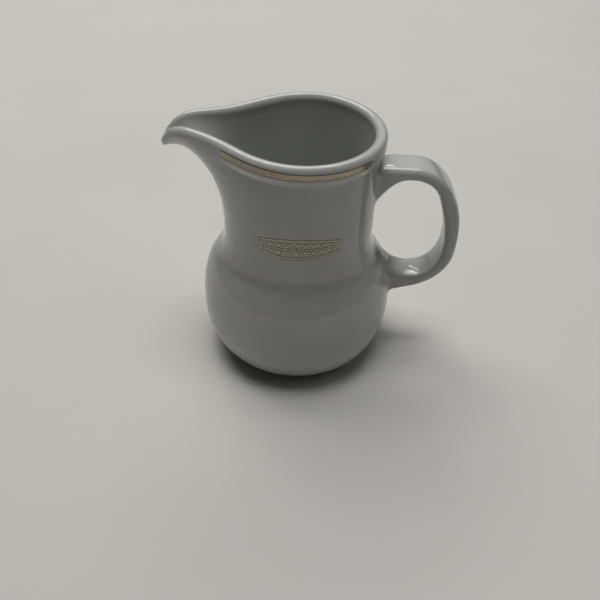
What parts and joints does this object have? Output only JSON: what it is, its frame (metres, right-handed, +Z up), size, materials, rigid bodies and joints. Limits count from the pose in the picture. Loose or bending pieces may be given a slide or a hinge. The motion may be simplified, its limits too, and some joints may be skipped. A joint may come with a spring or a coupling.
{
  "type": "cream jug",
  "caption": "Small glazed porcelain cream jug with a round belly, straight neck, pulled pouring lip, strap handle and fired gold lines.",
  "frame": {"origin": "on the table plane, in the middle of the jug's plan outline from spout tip to handle; the jug's own axis stands 5.8 mm from it towards the spout", "axes": "+Z up, +X towards the handle (the spout points along -X), -Y out of the face that carries the emblem"},
  "size_m": [0.114, 0.079, 0.1003],
  "materials": {
    "body_porcelain": "clear gloss glaze over white porcelain",
    "handle_porcelain": "clear gloss glaze over white porcelain",
    "fired_gold": "thin fired gold film, slightly rubbed"
  },
  "bodies": {
    "root": {"jug_body": "body_porcelain", "handle": "handle_porcelain", "gold_rim_line_front": "fired_gold", "gold_rim_line_back": "fired_gold", "emblem_upper_line": "fired_gold", "emblem_lower_line": "fired_gold", "emblem_sprig": "fired_gold"}
  },
  "joints": []
}
